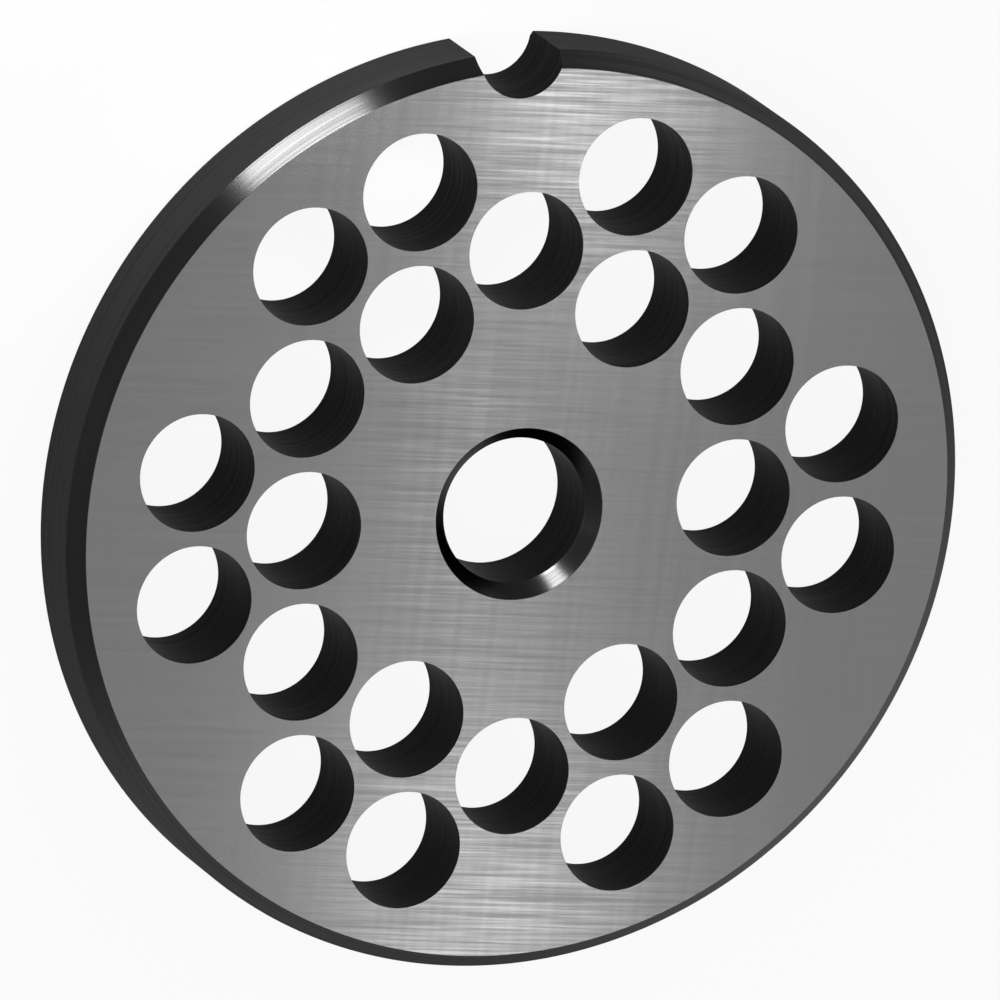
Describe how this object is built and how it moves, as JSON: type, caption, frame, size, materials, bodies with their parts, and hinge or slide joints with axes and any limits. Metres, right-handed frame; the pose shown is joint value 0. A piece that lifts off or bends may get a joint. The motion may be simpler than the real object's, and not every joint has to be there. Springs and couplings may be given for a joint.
{
  "type": "meat grinder plate",
  "caption": "Flat steel disc with a staggered grid of round holes, a countersunk centre bore, a chamfered rim and a half-round key slot; meat is cut against it and pressed through.",
  "frame": {"origin": "centre of the rear face, on the plate's axis", "axes": "+Z is the plate's axis and points out of the front face, the one with the countersink and the wide rim chamfer; +Y runs from the axis to the key slot"},
  "size_m": [0.062, 0.0619, 0.0063],
  "materials": {
    "steel": "ground flat on the faces with straight grinding marks, turned on the rim, drilled in the holes"
  },
  "bodies": {
    "root": {"grinder_plate": "steel"}
  },
  "joints": []
}
